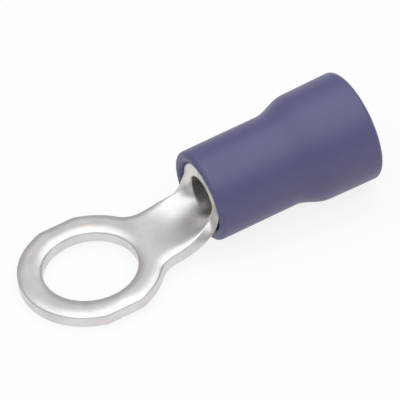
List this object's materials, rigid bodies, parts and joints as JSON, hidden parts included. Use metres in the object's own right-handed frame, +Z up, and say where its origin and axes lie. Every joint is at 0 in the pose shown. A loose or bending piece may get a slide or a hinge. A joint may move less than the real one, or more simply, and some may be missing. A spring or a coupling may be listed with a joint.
{
  "type": "ring terminal",
  "caption": "Insulated crimp ring terminal: flat stud ring and neck rolled into a wire barrel under a stepped blue-violet plastic sleeve.",
  "frame": {"origin": "centre of the stud hole, on the underside of the ring", "axes": "+X along the barrel towards the wire entry, +Z up through the stud hole, towards the barrel's axis"},
  "size_m": [0.021, 0.0078, 0.0065],
  "materials": {
    "tinned_copper": "tin-plated copper, satin",
    "sleeve_plastic": "soft moulded plastic, semi-matte"
  },
  "bodies": {
    "root": {"terminal": "tinned_copper", "insulating_sleeve": "sleeve_plastic"}
  },
  "joints": []
}
